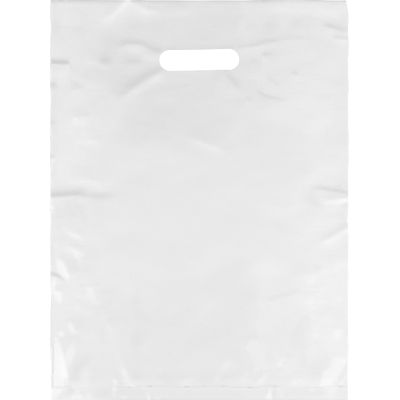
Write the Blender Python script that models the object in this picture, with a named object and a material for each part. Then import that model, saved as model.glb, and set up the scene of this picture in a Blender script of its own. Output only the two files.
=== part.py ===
"""A plastic carrier bag with a die-cut hand slot, empty and lying on its back. Metres, +Z up.

The bag is one length of blown film tube. The tube's two side folds are the bag's long edges, one weld across
it closes the bottom, a short open skirt is left below the weld, and the other end is the open mouth. The hand
slot is punched through both walls at once. Round the slot the walls lie on each other, pressed flat by the
punch and by hands. Beside and below this grip, the air left in the bag lifts the front wall, which is creased
from the slot's ends, the side folds and the weld. +Y runs from the bottom to the mouth, and the origin is
under the middle of the bag, on the surface that the back wall lies on.
"""

import math

import bmesh
import bpy
from mathutils import Vector
from mathutils.geometry import delaunay_2d_cdt

MM = 0.001

# Overall sizes
BAG_WIDTH = 0.300  # from side fold to side fold
BAG_LENGTH = 0.402  # from the back wall's lip to the trimmed bottom edge
FILM_GAUGE = 0.00005  # thickness of one layer of film

# Side folds, and the way the front wall lies on the back wall
SIDE_FOLD_RADIUS = 0.0006  # outside radius of the fold along each side
FOLD_REACH = 0.026  # distance from a side fold over which the front wall comes down from it
FOLD_OPENING = 0.040  # distance from the weld over which a side fold opens to its full radius
LAID_GAP = 0.0003  # space between the walls where they only lie on each other
SETTLING = 0.0002  # how softly the front wall comes to rest on the back wall

# The air that lifts the front wall
LOFT = 0.0058  # how far the front wall stands up where nothing holds it down
SIDE_RISE = 0.062  # distance from a side fold over which it rises
BOTTOM_RISE = 0.095  # distance from the weld over which it rises

# The grip, where the walls lie on each other from the slot's lower rim up to the mouth
GRIP_BESIDE_SLOT = 0.0020  # from the slot's ends to the grip's sides
GRIP_BELOW_SLOT = 0.0027  # from the slot's lower rim to the grip's lower edge
GRIP_RUN = 0.046  # distance over which the front wall rises beside the grip
GRIP_FALL = 0.088  # distance over which it rises below the grip

# Bottom weld, and the skirt below it
SKIRT_LENGTH = 0.0120  # from the trimmed edge to the middle of the weld
WELD_WIDTH = 0.0016  # band over which the two walls are pinched together
WELD_EDGE_GAP = 0.0001  # space between the walls where they part beside the weld
WELD_PARTING = 0.009  # distance from the weld over which the walls part freely
SKIRT_GAPE = 0.0004  # space between the two walls at the trimmed edge

# Mouth
LIP_SETBACK = 0.0006  # how far the front wall's lip lies below the back wall's
PEAK_BESIDE_SLOT = 0.033  # from the slot's left end to the small peak in the front wall's lip

# Hand slot
SLOT_LENGTH = 0.0800
SLOT_HEIGHT = 0.0206
SLOT_BELOW_MOUTH = 0.0600  # from the back wall's lip to the slot's middle
SLOT_TILT = math.radians(0.8)  # the punch stood very slightly askew

# Fineness of the film's surface: the spacing of its points
PLAIN_STEP = 0.015
SOFT_STEP = 0.0075  # beside a crease
SHARP_STEP = 0.0034  # along a crease's line
BACK_STEP = 0.030
EDGE_STEP = 0.0070  # along the lips, the side folds and the weld
FOLD_STEPS = 4  # facets round each side fold
SLOT_END_STEPS = 12  # facets round each half-round end of the slot
PATH_STEPS = 4  # straight stretches between two points of a crease's path

# Places that follow from the sizes
MOUTH_Y = BAG_LENGTH / 2
TRIM_Y = -BAG_LENGTH / 2
EDGE_X = BAG_WIDTH / 2 - SIDE_FOLD_RADIUS
WELD_Y = TRIM_Y + SKIRT_LENGTH
WELD_TOP_Y = WELD_Y + WELD_WIDTH / 2
WELD_LOW_Y = WELD_Y - WELD_WIDTH / 2
SLOT_Y = MOUTH_Y - SLOT_BELOW_MOUTH
GRIP_X = SLOT_LENGTH / 2 + GRIP_BESIDE_SLOT
GRIP_LOW_Y = SLOT_Y - SLOT_HEIGHT / 2 - GRIP_BELOW_SLOT

# Where creases start from
SLOT_LEFT = (-SLOT_LENGTH / 2, SLOT_Y)
SLOT_RIGHT = (SLOT_LENGTH / 2, SLOT_Y)
LIP_PEAK = (-SLOT_LENGTH / 2 - PEAK_BESIDE_SLOT, MOUTH_Y)
MOUTH_LEFT = (-BAG_WIDTH / 2, MOUTH_Y)
MOUTH_RIGHT = (BAG_WIDTH / 2, MOUTH_Y)
MIDDLE_LEFT = (-BAG_WIDTH / 2, 0.0)
MIDDLE_RIGHT = (BAG_WIDTH / 2, 0.0)
BOTTOM_LEFT = (-BAG_WIDTH / 2, TRIM_Y)
BOTTOM_RIGHT = (BAG_WIDTH / 2, TRIM_Y)


def clear_scene():
    for old in list(bpy.data.objects):
        bpy.data.objects.remove(old, do_unlink=True)


def rise(t):
    """0 up to t = 0, 1 from t = 1 on, and level at both ends."""
    t = min(max(t, 0.0), 1.0)
    return t * t * (3.0 - 2.0 * t)


def spaced(start, end, widest):
    """Evenly spaced values from start to end, no further apart than widest."""
    count = max(1, math.ceil(abs(end - start) / widest - 1e-9))
    return [start + (end - start) * i / count for i in range(count + 1)]


def smooth_path(points):
    """A smooth line through the points: a Catmull-Rom curve."""
    path = [Vector(p) for p in points]
    path = [2 * path[0] - path[1]] + path + [2 * path[-1] - path[-2]]
    line = []
    for a, b, c, d in zip(path, path[1:], path[2:], path[3:]):
        for t in (step / PATH_STEPS for step in range(PATH_STEPS)):
            bend = (2 * a - 5 * b + 4 * c - d) * t**2 + (3 * b - a - 3 * c + d) * t**3
            line.append(0.5 * (2 * b + (c - a) * t + bend))
    return line + [path[-2]]


class Crease:
    """A fold line in the front wall, in millimetres. Its path is given from an anchor. It stands height above
    the wall, and falls away over left and right, which are its two sides as one goes along it. It swells and
    dies over the shares of its length in fade."""

    def __init__(self, anchor, path, height, left, right, fade=(0.3, 0.3)):
        self.line = smooth_path([(anchor[0] + x * MM, anchor[1] + y * MM) for x, y in path])
        self.height, self.left, self.right, self.fade = height * MM, left * MM, right * MM, fade
        self.reach = 3.0 * max(self.left, self.right)
        self.length = sum((b - a).length for a, b in zip(self.line, self.line[1:]))

    def beside(self, x, y):
        """Distance to the line, positive on its left, and the share of the way along. None out of reach."""
        if not min(p.x for p in self.line) - self.reach < x < max(p.x for p in self.line) + self.reach:
            return None
        if not min(p.y for p in self.line) - self.reach < y < max(p.y for p in self.line) + self.reach:
            return None
        place = Vector((x, y))
        nearest, side, share, gone = math.inf, 1.0, 0.0, 0.0
        for a, b in zip(self.line, self.line[1:]):
            span = b - a
            t = min(max((place - a).dot(span) / span.length_squared, 0.0), 1.0)
            away = (place - a - t * span).length
            if away < nearest:
                nearest = away
                side = 1.0 if span.cross(place - a) >= 0 else -1.0
                share = (gone + t * span.length) / self.length
            gone += span.length
        return side * nearest, share

    def lift(self, x, y):
        found = self.beside(x, y)
        if found is None:
            return 0.0
        away, share = found
        width = self.left if away > 0 else self.right
        lift = self.height * math.exp(-((abs(away) / width) ** 1.6))
        for distance, fade in ((share, self.fade[0]), (1.0 - share, self.fade[1])):
            if fade > 0:
                lift *= rise(distance / fade)
        return lift


CREASES = [
    # From the slot's left end: an arch, and a long pull down towards the side
    Crease(SLOT_LEFT, [(-43, 7), (-33, 11.5), (-23, 12.5), (-13, 9.5), (2, 3)], 1.3, 5.5, 5.5, (0.3, 0)),
    Crease(SLOT_LEFT, [(10, -8), (0, -11.5), (-12, -18), (-34, -34), (-46, -44)], 2.0, 6.5, 5.5, (0, 0.4)),
    # From the slot's right end: a line that climbs towards the side, and one that runs down
    Crease(SLOT_RIGHT, [(-2, 11.5), (20, 15), (48, 20.5), (68, 22)], 0.6, 4, 5.5, (0, 0.5)),
    Crease(SLOT_RIGHT, [(-22, -8), (-12, -14), (-3, -23), (4, -34), (14, -43)], 1.3, 5, 16, (0.1, 0.3)),
    # A peak in the lip, with an arm down each side
    Crease(LIP_PEAK, [(-31, -25), (-17, -15), (-7, -7), (0, 2)], 0.9, 9, 6, (0.4, 0)),
    Crease(LIP_PEAK, [(0, 2), (7, -5), (21, -9), (48, -9), (91, -4)], 0.6, 6, 5, (0, 0.4)),
    # At the side folds near the mouth: a short pleat on the left, and a slanting one on the right
    Crease(MOUTH_LEFT, [(-1, -61.7), (9, -62), (19, -62.3)], 1.8, 4, 12, (0, 0.2)),
    Crease(MOUTH_RIGHT, [(-31, -26), (-19, -29.5), (1, -36)], 1.2, 4.5, 9, (0.3, 0)),
    # At the side folds half way down: a buckle on the left, and three slanting folds on the right
    Crease(MIDDLE_LEFT, [(-1, 3), (12, 3.5), (38, 4.5), (47, 3)], 2.1, 5, 20, (0, 0.22)),
    Crease(MIDDLE_LEFT, [(4, 20), (32, 22), (54, 18), (70, 11)], 0.8, 20, 8),
    Crease(MIDDLE_RIGHT, [(-40, 9), (-28, 10), (-17, 8), (1, 7)], 1.2, 4, 9, (0.3, 0)),
    Crease(MIDDLE_RIGHT, [(-30, -0.5), (-14, 0.5), (1, 2.5)], 0.9, 6, 4, (0.4, 0)),
    Crease(MIDDLE_RIGHT, [(-36, -43.5), (-19, -37), (1, -27)], 0.8, 4, 4.5, (0.35, 0)),
    # Lower down on the left: a steep fold that stands off the side
    Crease(MIDDLE_LEFT, [(9, -54), (14, -64), (24, -80)], 1.9, 8, 5, (0.25, 0.3)),
    # At the bottom: a shoulder beside each side fold, and folds that fan out above the weld
    Crease(BOTTOM_LEFT, [(16, 69), (17, 43), (21, 23), (24, 5)], 3.0, 9, 8.5, (0.25, 0)),
    Crease(BOTTOM_RIGHT, [(-26, 45), (-31, 31), (-33, 11)], 1.8, 16, 9, (0.4, 0)),
    Crease(BOTTOM_LEFT, [(66, 51), (74, 29), (78, 11)], 0.9, 9, 4.5, (0.6, 0)),
    Crease(BOTTOM_RIGHT, [(-76, 39), (-88, 11)], 0.6, 6, 5, (0.4, 0)),
    # Two pleats in the skirt
    Crease(BOTTOM_RIGHT, [(-80, 13), (-81, 0)], 1.0, 4, 4, (0.3, 0)),
    Crease(BOTTOM_RIGHT, [(-70, 13), (-68, 0)], 0.8, 4, 4, (0.3, 0)),
]


def laid_gap(y):
    """Space between the walls where they lie on each other, above the weld and in the skirt."""
    return LAID_GAP if y > WELD_Y else SKIRT_GAPE


def fold_height(y):
    """How far a side fold, which the weld flattens, holds the walls apart."""
    return laid_gap(y) + (2 * SIDE_FOLD_RADIUS - LAID_GAP) * rise((y - WELD_TOP_Y) / FOLD_OPENING)


def settled(height):
    """A height that never goes below 0: the front wall comes softly to rest on the back wall."""
    return height + SETTLING * math.log1p(math.exp(-height / SETTLING))


def front_height(x, y):
    """Height of the front wall's outer face over the surface that the bag lies on."""
    from_side = EDGE_X - abs(x)
    off_grip = math.hypot(max(abs(x) - GRIP_X, 0.0) / GRIP_RUN, max(GRIP_LOW_Y - y, 0.0) / GRIP_FALL)
    air = LOFT * rise(from_side / SIDE_RISE) * rise((y - WELD_TOP_Y) / BOTTOM_RISE) * rise(off_grip)
    at_fold = 1.0 - rise(from_side / FOLD_REACH)
    laid = laid_gap(y) + (fold_height(y) - laid_gap(y)) * at_fold
    creased = laid + air + sum(crease.lift(x, y) for crease in CREASES)
    parted = rise((y - WELD_TOP_Y) / WELD_PARTING) + rise((WELD_LOW_Y - y) / (WELD_LOW_Y - TRIM_Y))
    return 2 * FILM_GAUGE + WELD_EDGE_GAP + settled(creased) * parted


def back_height(x, y):
    """The back wall lies flat."""
    return 0.0


def slot_outline():
    """The hand slot's outline, anticlockwise: straight sides and half-round ends."""
    radius = SLOT_HEIGHT / 2
    straight = SLOT_LENGTH / 2 - radius
    corners = []
    for side in (1, -1):
        for step in range(SLOT_END_STEPS + 1):
            turn = math.pi * (step / SLOT_END_STEPS - 0.5)
            corners.append((side * (straight + radius * math.cos(turn)), side * radius * math.sin(turn)))
    outline = []
    for (x0, y0), (x1, y1) in zip(corners, corners[1:] + corners[:1]):
        count = max(1, round(math.hypot(x1 - x0, y1 - y0) / EDGE_STEP))
        outline += [(x0 + (x1 - x0) * i / count, y0 + (y1 - y0) * i / count) for i in range(count)]
    c, s = math.cos(SLOT_TILT), math.sin(SLOT_TILT)
    return [(c * x - s * y, SLOT_Y + s * x + c * y) for x, y in outline]


def in_slot(x, y, margin):
    """True for a place inside the slot or within margin of it."""
    c, s = math.cos(SLOT_TILT), math.sin(SLOT_TILT)
    along = c * x + s * (y - SLOT_Y)
    across = c * (y - SLOT_Y) - s * x
    straight = (SLOT_LENGTH - SLOT_HEIGHT) / 2
    return math.hypot(max(abs(along) - straight, 0.0), across) < SLOT_HEIGHT / 2 + margin


BODY_ROWS = spaced(MOUTH_Y, WELD_TOP_Y, EDGE_STEP)
SKIRT_ROWS = spaced(WELD_LOW_Y, TRIM_Y, EDGE_STEP)
ROWS = BODY_ROWS + [WELD_Y] + SKIRT_ROWS
ROW_OF = {
    "mouth": 0,
    "weld_top": len(BODY_ROWS) - 1,
    "weld": len(BODY_ROWS),
    "weld_low": len(BODY_ROWS) + 1,
    "trim": len(ROWS) - 1,
}  # the number of the row that runs along each line across the bag
COLUMNS = spaced(-EDGE_X, EDGE_X, EDGE_STEP)


def staggered(step):
    """Places all over a wall in staggered rows, clear of the slot, the side folds, the weld and both ends."""
    places = []
    for row, y in enumerate(spaced(TRIM_Y, MOUTH_Y, step * math.sin(math.pi / 3))):
        start = -EDGE_X + step * (0.5 if row % 2 else 1.0)
        count = int((EDGE_X - start) / step) + 1
        places += [(start + step * i, y) for i in range(count)]
    margin = 0.6 * min(step, EDGE_STEP)
    return [place for place in places if clear_of_lines(*place, margin)]


def clear_of_lines(x, y, margin):
    if in_slot(x, y, margin) or abs(x) > EDGE_X - margin:
        return False
    return WELD_TOP_Y + margin < y < MOUTH_Y - margin or TRIM_Y + margin < y < WELD_LOW_Y - margin


def spacing(x, y):
    """How far apart the front wall's points lie at a place: closer together where the film is creased."""
    step = PLAIN_STEP
    if in_slot(x, y, SOFT_STEP) or y < WELD_TOP_Y + PLAIN_STEP:
        step = SOFT_STEP
    for crease in CREASES:
        found = crease.beside(x, y)
        if found is None:
            continue
        away = abs(found[0])
        if away < 1.1 * min(crease.left, crease.right):
            return SHARP_STEP
        if away < 1.4 * max(crease.left, crease.right):
            step = SOFT_STEP
    return step


def front_places():
    places = []
    for step in (PLAIN_STEP, SOFT_STEP, SHARP_STEP):
        places += [place for place in staggered(step) if spacing(*place) == step]
    return places


def wall(interior):
    """One wall laid flat: its places, its triangles, and the numbers of the places on each of its lines."""
    places, edges, lines = [], [], {}

    def add_line(name, points, closed=False):
        numbers = list(range(len(places), len(places) + len(points)))
        places.extend(points)
        lines[name] = numbers
        ends = numbers + numbers[:1] if closed else numbers
        edges.extend(zip(ends, ends[1:]))

    add_line("left", [(-EDGE_X, y) for y in ROWS])
    add_line("right", [(EDGE_X, y) for y in ROWS])
    for name, row in ROW_OF.items():
        add_line(name, [(x, ROWS[row]) for x in COLUMNS[1:-1]])
        lines[name] = [lines["left"][row]] + lines[name] + [lines["right"][row]]
        edges += [tuple(lines[name][:2]), tuple(lines[name][-2:])]
    add_line("slot", slot_outline(), closed=True)
    places += interior
    flat, _, faces, origins, _, _ = delaunay_2d_cdt([Vector(p) for p in places], edges, [], 0, 1e-9)
    number_of = {old: new for new, olds in enumerate(origins) for old in olds}
    lines = {name: [number_of[i] for i in numbers] for name, numbers in lines.items()}
    kept = []
    for face in faces:
        middle = sum((flat[i] for i in face), Vector((0.0, 0.0))) / len(face)
        if not in_slot(middle.x, middle.y, 0.0):
            kept.append(face)
    return flat, kept, lines


def outside_weld(flat, faces):
    """The triangles of a wall that aren't fused to the other wall."""
    return [face for face in faces if not WELD_LOW_Y < sum(flat[i].y for i in face) / len(face) < WELD_TOP_Y]


def add_points(mesh, flat, height, inset, setback=0.0):
    """A wall's points at their height, with the lip drawn back by setback."""
    points = []
    for place in flat:
        short = setback * rise((place.y - SLOT_Y) / SLOT_BELOW_MOUTH)
        points.append(mesh.verts.new((place.x, place.y - short, height(place.x, place.y) + inset)))
    return points


def add_skin(mesh, points, faces):
    for face in faces:
        mesh.faces.new([points[i] for i in face])


def add_strip(mesh, one, other):
    """Faces between two rows of points."""
    for a, b, c, d in zip(one, one[1:], other[1:], other):
        mesh.faces.new((a, b, c, d))


def add_fold(mesh, front, back, side, radius):
    """The arcs of a side fold, from the front wall's edge round to the back wall's edge."""
    arcs = [front]
    for step in range(1, FOLD_STEPS):
        turn = math.pi * step / FOLD_STEPS
        arc = []
        for top, low in zip(front, back):
            place = top.co.lerp(low.co, (1.0 - math.cos(turn)) / 2)
            place.x += side * min(radius, (top.co.z - low.co.z) / 2) * math.sin(turn)
            arc.append(mesh.verts.new(place))
        arcs.append(arc)
    return arcs + [back]


def build_film():
    """The whole bag as one closed film: two walls with two faces each, the side folds, the lips, the slot's
    rims and the weld."""
    mesh = bmesh.new()
    front_flat, front_faces, front_lines = wall(front_places())
    back_flat, back_faces, back_lines = wall(staggered(BACK_STEP))
    front_out = add_points(mesh, front_flat, front_height, 0.0, LIP_SETBACK)
    front_in = add_points(mesh, front_flat, front_height, -FILM_GAUGE, LIP_SETBACK)
    back_out = add_points(mesh, back_flat, back_height, 0.0)
    back_in = add_points(mesh, back_flat, back_height, FILM_GAUGE)
    add_skin(mesh, front_out, front_faces)
    add_skin(mesh, front_in, outside_weld(front_flat, front_faces))
    add_skin(mesh, back_out, back_faces)
    add_skin(mesh, back_in, outside_weld(back_flat, back_faces))

    def front(name, points):
        return [points[i] for i in front_lines[name]]

    def back(name, points):
        return [points[i] for i in back_lines[name]]

    top, low = ROW_OF["weld_top"], ROW_OF["weld_low"]
    for name, side in (("left", -1), ("right", 1)):
        radius = SIDE_FOLD_RADIUS
        outer = add_fold(mesh, front(name, front_out), back(name, back_out), side, radius)
        inner = add_fold(mesh, front(name, front_in), back(name, back_in), side, radius - FILM_GAUGE)
        for one, other in zip(outer, outer[1:]):
            add_strip(mesh, one, other)
        for one, other in zip(inner, inner[1:]):
            add_strip(mesh, one[: top + 1], other[: top + 1])
            add_strip(mesh, one[low:], other[low:])
        for end in (0, -1):
            add_strip(mesh, [arc[end] for arc in outer], [arc[end] for arc in inner])
        for row in (top, low):
            mesh.faces.new([arc[row] for arc in inner])
    for name in ("mouth", "trim"):
        add_strip(mesh, front(name, front_in), front(name, front_out))
        add_strip(mesh, back(name, back_in), back(name, back_out))
    for name in ("weld_top", "weld_low"):
        add_strip(mesh, front(name, front_in), back(name, back_in))
    for outer, inner in (
        (front("slot", front_out), front("slot", front_in)),
        (back("slot", back_out), back("slot", back_in)),
    ):
        add_strip(mesh, outer + outer[:1], inner + inner[:1])
    bmesh.ops.recalc_face_normals(mesh, faces=mesh.faces)

    data = bpy.data.meshes.new("carrier_bag")
    mesh.to_mesh(data)
    mesh.free()
    data.shade_smooth()
    data.set_sharp_from_angle(angle=math.radians(35))
    bag = bpy.data.objects.new("carrier_bag", data)
    bpy.context.scene.collection.objects.link(bag)
    return bag


def film_material():
    """White pigmented polyethylene film with a soft gloss."""
    material = bpy.data.materials.new("white_film")
    material.use_nodes = True
    shader = material.node_tree.nodes["Principled BSDF"]
    shader.inputs["Base Color"].default_value = (0.82, 0.82, 0.82, 1.0)
    shader.inputs["Roughness"].default_value = 0.30
    shader.inputs["Metallic"].default_value = 0.0
    return material


clear_scene()
carrier_bag = build_film()
carrier_bag.data.materials.append(film_material())
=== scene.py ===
"""The looks of a plastic carrier bag: an empty bag of white polyethylene film, lying on its back."""

import math

import bpy
import numpy as np
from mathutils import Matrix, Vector
from mathutils.geometry import delaunay_2d_cdt


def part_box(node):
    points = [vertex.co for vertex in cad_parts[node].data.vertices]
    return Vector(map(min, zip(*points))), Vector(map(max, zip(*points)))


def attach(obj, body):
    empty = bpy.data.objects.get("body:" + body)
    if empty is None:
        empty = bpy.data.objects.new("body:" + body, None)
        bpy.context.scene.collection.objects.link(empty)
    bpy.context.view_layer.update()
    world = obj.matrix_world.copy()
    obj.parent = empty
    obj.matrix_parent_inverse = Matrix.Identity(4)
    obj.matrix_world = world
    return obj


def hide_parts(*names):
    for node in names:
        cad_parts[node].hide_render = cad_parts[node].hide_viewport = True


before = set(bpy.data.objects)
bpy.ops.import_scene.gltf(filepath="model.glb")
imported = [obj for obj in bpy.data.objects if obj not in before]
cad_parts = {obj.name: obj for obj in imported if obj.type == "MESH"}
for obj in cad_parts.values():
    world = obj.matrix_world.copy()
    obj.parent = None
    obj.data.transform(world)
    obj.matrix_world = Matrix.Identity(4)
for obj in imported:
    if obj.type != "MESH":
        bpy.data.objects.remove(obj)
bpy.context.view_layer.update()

MM = 0.001

# The bag's sizes, in metres. The overall ones come from the bag's part in model.glb.
LOW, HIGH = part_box("carrier_bag")
HALF_WIDTH = (HIGH.x - LOW.x) / 2
MOUTH_Y = HIGH.y
TRIM_Y = LOW.y
FILM_GAUGE = 0.00005
SIDE_FOLD_RADIUS = 0.0006
EDGE_X = HALF_WIDTH - SIDE_FOLD_RADIUS  # where a wall ends and its side fold begins
SKIRT_LENGTH = 0.0120
WELD_WIDTH = 0.0016
WELD_Y = TRIM_Y + SKIRT_LENGTH
WELD_TOP_Y = WELD_Y + WELD_WIDTH / 2
WELD_LOW_Y = WELD_Y - WELD_WIDTH / 2
SLOT_LENGTH = 0.0800
SLOT_HEIGHT = 0.0206
SLOT_X = -0.0002
SLOT_Y = MOUTH_Y - 0.0603
SLOT_TILT = math.radians(1.0)
LIP_SETBACK = 0.0006

# Fineness of the film's mesh, in metres
EDGE_STEP = 0.0016
PLAIN_STEP = 0.0030
RELIEF_STEP = 0.0022
CREASE_STEP = 0.0014
BACK_STEP = 0.0050
SAME_PLACE = 1e-9  # places this close become one
RIM_MARGIN = 1e-5  # triangles whose middle lies further inside the slot go

# The same in steps, shares and widths
FOLD_STEPS = 6
SLOT_STEPS = 16
CLEAR_SHARE = 0.6  # of EDGE_STEP, kept clear beside the front wall's lines
ROW_SHARE = 0.866  # of the step along a staggered grid's row, to the next row
SOFT_REACH = 1.8  # RELIEF_STEP goes as far as this many of a crease's larger widths
SHARP_REACH = 1.3  # and CREASE_STEP as far as this many of its smaller widths
SHARP_WIDTH = 5.6  # if those are less than this, in millimetres
SHARP_ANGLE = 60.0  # from which an edge is shaded sharp, in degrees

# Places of the bag in millimetres, from its middle
SIDE = HALF_WIDTH / MM
FOLD_LINE = EDGE_X / MM
WELD_TOP = WELD_TOP_Y / MM
WELD_LOW = WELD_LOW_Y / MM

# The film's broad shape, in millimetres
LOFT = 5.8
SIDE_RISE = 62.0
BOTTOM_RISE = 95.0
REST_GAP = 0.30  # between the walls where they lie on each other
FOLD_REACH = 26.0  # over which the wall comes down from a side fold
FOLD_OPENING = 40.0  # over which a side fold opens above the weld
SKIRT_GAP = 0.30  # between the walls at the trimmed edge
GRIP_HALF_WIDTH = 42.0  # the grip round the slot
GRIP_LOW_Y = 128.0
GRIP_RUN = 46.0  # over which the front wall rises beside the grip
GRIP_FALL = 88.0  # and below it
LEAST_GAP = 0.12  # between the outer faces of the two walls
SETTLING = 0.2  # how softly the front wall comes to rest on the back wall
BACK_LIFT = 0.14  # the most that the back wall's waves rise
BACK_RUN = 12.0  # over which they begin, at the weld and the sides
WAVE_ROUNDING = 0.09  # how softly they touch the floor
RIPPLE_WAVES = 9

# The film's looks. Shades are shares of its white, and heights are in metres.
FILM_WHITE = 0.787
# darkening per unit of cling and painted shade; negative units give painted highlights
CLING_AND_PAINTED_SHADE = 0.050
# darkness of the weld's painted shade line
WELD_SHADE = 0.30
MOTTLE_SHADE = 0.012
GRAIN_SHADE = 0.080
WISP_HEIGHT = 0.00015
GRAIN_HEIGHT = 0.00003

# The weld's dark line, painted shade where the film turns down into the weld. Its places are in metres,
# and its faintest dash is a share of the darkest.
WELD_LINE_Y = WELD_Y + 0.0022  # its upper place
WELD_LINE_STEP = 0.0012  # from there down to its lower place
WELD_LINE_REACH = 0.0008  # over which it fades on each side
FAINTEST_DASH = 0.28

# Floor, light and camera, in metres
FLOOR_WIDTH = 12.0
FLOOR_CLEARANCE = 0.0002  # between the floor and the bag
FLOOR_GLOW = 0.42  # strength of the white that the camera sees
WORLD_LIGHT = 0.50  # strength of the surround as a lamp
PICTURE_WIDTH = 0.4018  # of the bag's plane that the picture spans
CAMERA_PLACE = (0.00054, 0.00025, 2.6)


def rise(t):
    """0 up to t = 0, 1 from t = 1 on, and level at both ends."""
    t = np.clip(t, 0.0, 1.0)
    return t * t * (3.0 - 2.0 * t)


def between(t, start, end):
    """0 before start and 1 past end, which may be the smaller of the two."""
    return rise((t - start) / (end - start))


def hill(t, middle, reach):
    """1 at middle, and about a third at reach from it, on both sides."""
    return np.exp(-(((t - middle) / reach) ** 2))


def smooth_path(points, spans=8):
    """A smooth line through the points: a Catmull-Rom curve, as an array of places."""
    p = np.array(points, float)
    p = np.vstack([2 * p[0] - p[1], p, 2 * p[-1] - p[-2]])
    t = np.linspace(0.0, 1.0, spans, endpoint=False)[:, None]
    line = []
    for a, b, c, d in zip(p, p[1:], p[2:], p[3:]):
        square = 2 * a - 5 * b + 4 * c - d
        cube = 3 * b - a - 3 * c + d
        line.append(0.5 * (2 * b + (c - a) * t + square * t**2 + cube * t**3))
    return np.vstack(line + [p[-2:-1]])


def beside(u, v, line):
    """For each place: its distance to the line, positive on its left, and its share of the way along."""
    a, b = line[:-1], line[1:]
    span = b - a
    length = np.linalg.norm(span, axis=1)
    start = np.concatenate([[0.0], np.cumsum(length)[:-1]])
    du, dv = u[:, None] - a[:, 0], v[:, None] - a[:, 1]
    t = np.clip((du * span[:, 0] + dv * span[:, 1]) / length**2, 0.0, 1.0)
    away = np.hypot(du - t * span[:, 0], dv - t * span[:, 1])
    near = away.argmin(axis=1)
    row = np.arange(len(u))
    side = span[near, 0] * dv[row, near] - span[near, 1] * du[row, near]
    share = (start[near] + t[row, near] * length[near]) / length.sum()
    return np.where(side >= 0, 1.0, -1.0) * away[row, near], share


class Crease:
    """A fold line through path, in millimetres from the bag's middle. It stands height above the wall, or
    below it if negative, and falls away over left and right on its two sides, each a width or the widths at
    its two ends, and the same if only one is given. It swells and dies over the shares of its length in fade.
    A high power makes it flat-topped, a low one sharp."""

    reach = 3.0  # in widths from its line, beyond which nothing of it is left

    def __init__(self, path, height, left, right=None, fade=(0.3, 0.3), power=1.6):
        self.line = smooth_path(path)
        self.left, self.right = (w if isinstance(w, tuple) else (w, w) for w in (left, right or left))
        self.height, self.fade, self.power = height, fade, power
        self.narrowest, self.widest = min(self.left + self.right), max(self.left + self.right)

    def near(self, u, v, reach):
        """True for places within reach of the path's box."""
        low, high = self.line.min(axis=0) - reach, self.line.max(axis=0) + reach
        return (u > low[0]) & (u < high[0]) & (v > low[1]) & (v < high[1])

    def add_to(self, z, u, v):
        inside = np.flatnonzero(self.near(u, v, self.reach * self.widest))
        if not len(inside):
            return
        away, share = beside(u[inside], v[inside], self.line)
        left, right = (start + (end - start) * share for start, end in (self.left, self.right))
        width = np.where(away > 0, left, right)
        profile = np.exp(-((np.abs(away) / width) ** self.power))
        for covered, fade in ((share, self.fade[0]), (1.0 - share, self.fade[1])):
            if fade > 0:
                profile *= rise(covered / fade)
        z[inside] += self.height * profile


class Spot:
    """A soft swelling, or a dip if height is negative, round a middle, in millimetres."""

    def __init__(self, middle, radii, height):
        self.middle, self.radii, self.height = middle, radii, height

    def add_to(self, z, u, v):
        du, dv = (u - self.middle[0]) / self.radii[0], (v - self.middle[1]) / self.radii[1]
        z += self.height * np.exp(-(du**2) - dv**2)


class Zone:
    """A patch of one strength. Its outline, in millimetres, fades over twice soft, wanders by ragged, and has
    corners if sharp."""

    def __init__(self, outline, strength, soft, ragged=0.0, sharp=False):
        self.line = smooth_path(outline + outline[:1], spans=1 if sharp else 4)
        self.strength, self.soft, self.ragged = strength, soft, ragged

    def add_to(self, z, u, v):
        away, _ = beside(u, v, self.line)
        a, b = self.line[:-1], self.line[1:]
        crossed = (a[:, 1] > v[:, None]) != (b[:, 1] > v[:, None])
        climb = np.where(b[:, 1] == a[:, 1], 1.0, b[:, 1] - a[:, 1])
        at = a[:, 0] + (v[:, None] - a[:, 1]) * (b[:, 0] - a[:, 0]) / climb
        inside = (crossed & (u[:, None] < at)).sum(axis=1) % 2 == 1
        depth = np.where(inside, 1.0, -1.0) * np.abs(away)
        if self.ragged:
            depth = depth + ripple(u, v, seed=21, wavelength=24.0, height=self.ragged)
        z += self.strength * rise(0.5 + depth / (2 * self.soft))


def ripple(u, v, seed, wavelength, height, stretch=1.0):
    """Gentle irregular waves, in millimetres: a sum of plane waves, stretched along the bag's width."""
    rng = np.random.default_rng(seed)
    total = np.zeros_like(u)
    for _ in range(RIPPLE_WAVES):
        turn = rng.uniform(0, math.pi)
        phase = rng.uniform(0, 2 * math.pi)
        k = 2 * math.pi / (wavelength * rng.uniform(0.75, 1.35))
        total += np.sin(k * (math.cos(turn) * u / stretch + math.sin(turn) * v) + phase)
    return height * total / math.sqrt(RIPPLE_WAVES / 2)


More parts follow.
